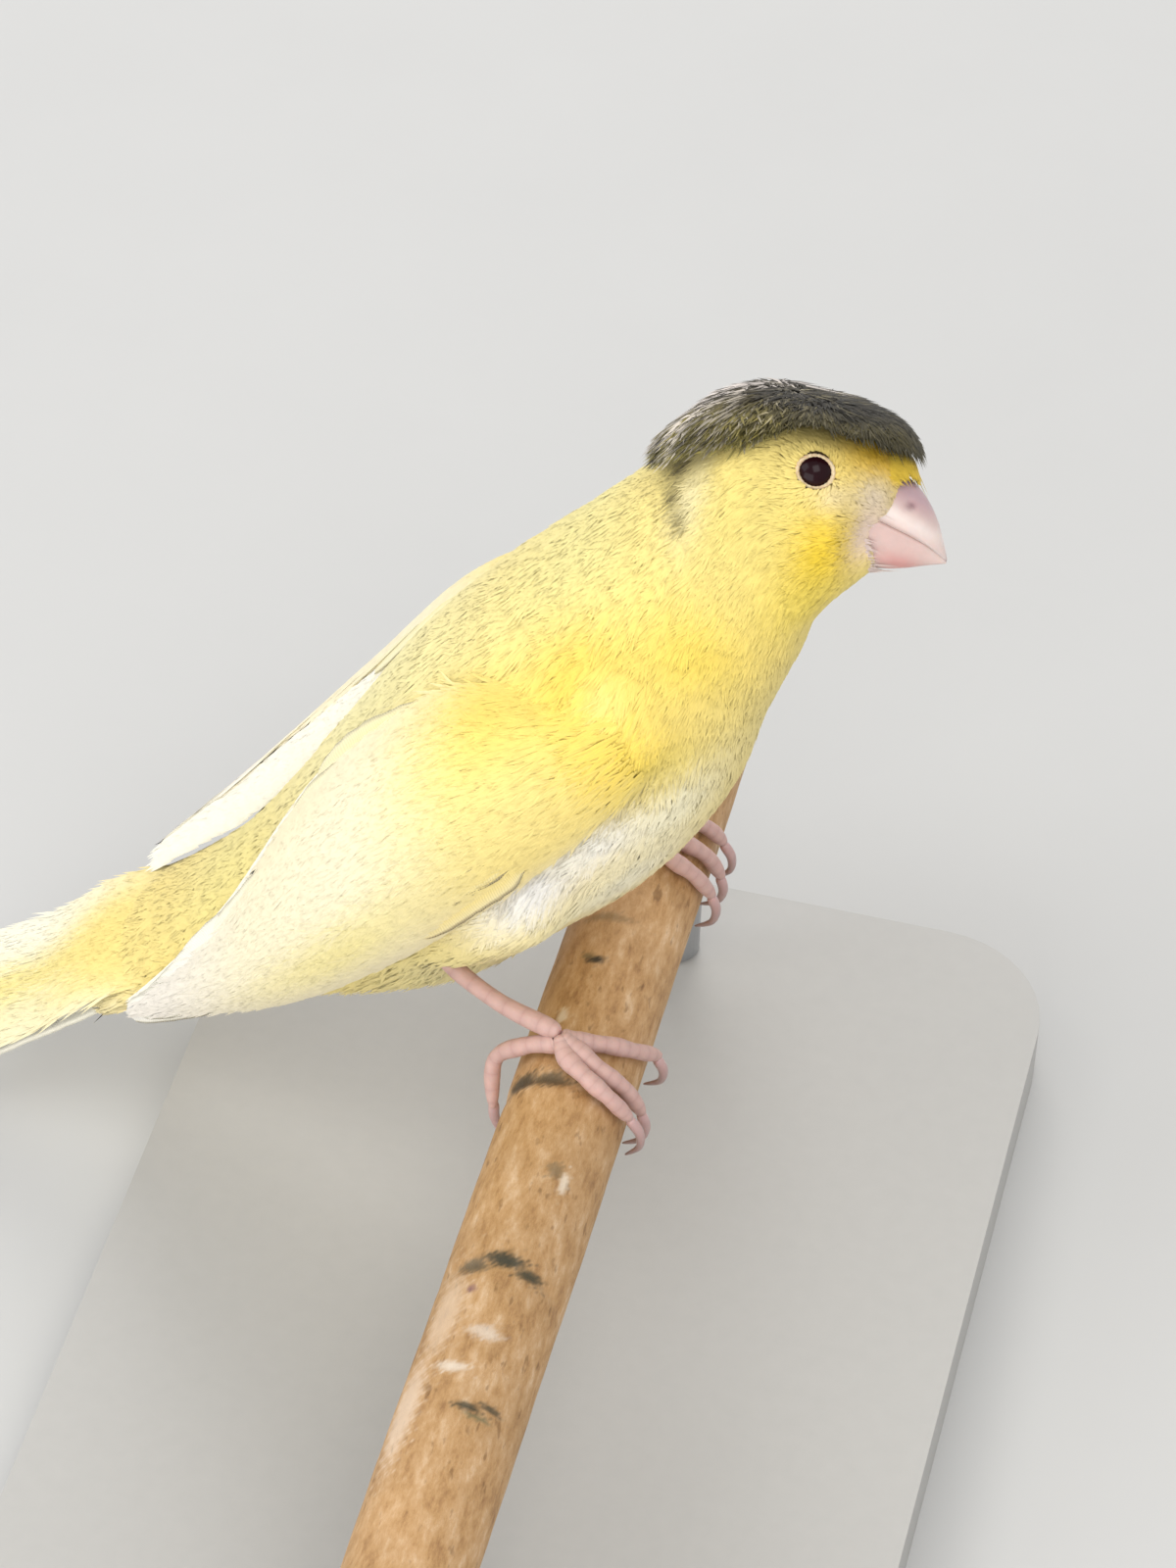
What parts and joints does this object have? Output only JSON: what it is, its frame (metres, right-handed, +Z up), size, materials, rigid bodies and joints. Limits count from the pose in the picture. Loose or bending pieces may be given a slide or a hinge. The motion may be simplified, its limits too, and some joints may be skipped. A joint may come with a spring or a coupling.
{
  "type": "crested canary display model",
  "caption": "Life-size still model of a small crested yellow songbird gripping a short cut length of round wooden perch, held on a plain flat display stand.",
  "frame": {"origin": "centre of the bounding box at the underside of the stand's base", "axes": "+X the way the bird faces, +Y along the perch toward the bird's left, +Z up"},
  "size_m": [0.1126, 0.13, 0.1148],
  "materials": {
    "plumage_yellow": "soft matt plumage, pale lemon to deeper yellow",
    "plumage_pale": "soft matt plumage, cream to white with yellow washes",
    "skin_pink": "scaled pink skin, slight sheen",
    "claw_horn": "thin pinkish grey horn",
    "bill_horn": "flesh-pink horn, satin",
    "eye_dark": "wet gloss, near black brown",
    "perch_wood": "bare tan wood with dark stains",
    "stand_paint": "plain matt grey",
    "stand_steel": "brushed"
  },
  "bodies": {
    "root": {"head": "plumage_yellow", "neck": "plumage_yellow", "torso": "plumage_yellow", "rump": "plumage_yellow", "thigh_r": "plumage_yellow", "thigh_l": "plumage_yellow", "wing_r": "plumage_pale", "wing_l": "plumage_pale", "tail": "plumage_pale", "leg_r": "skin_pink", "leg_l": "skin_pink", "toe_r1": "skin_pink", "toe_r2": "skin_pink", "toe_r3": "skin_pink", "toe_r4": "skin_pink", "toe_l1": "skin_pink", "toe_l2": "skin_pink", "toe_l3": "skin_pink", "toe_l4": "skin_pink", "claw_r1": "claw_horn", "claw_r2": "claw_horn", "claw_r3": "claw_horn", "claw_r4": "claw_horn", "claw_l1": "claw_horn", "claw_l2": "claw_horn", "claw_l3": "claw_horn", "claw_l4": "claw_horn", "bill_upper": "bill_horn", "bill_lower": "bill_horn", "eye_r": "eye_dark", "eye_l": "eye_dark", "perch": "perch_wood", "stand_base": "stand_paint", "stand_rod_1": "stand_steel", "stand_rod_2": "stand_steel"}
  },
  "joints": []
}
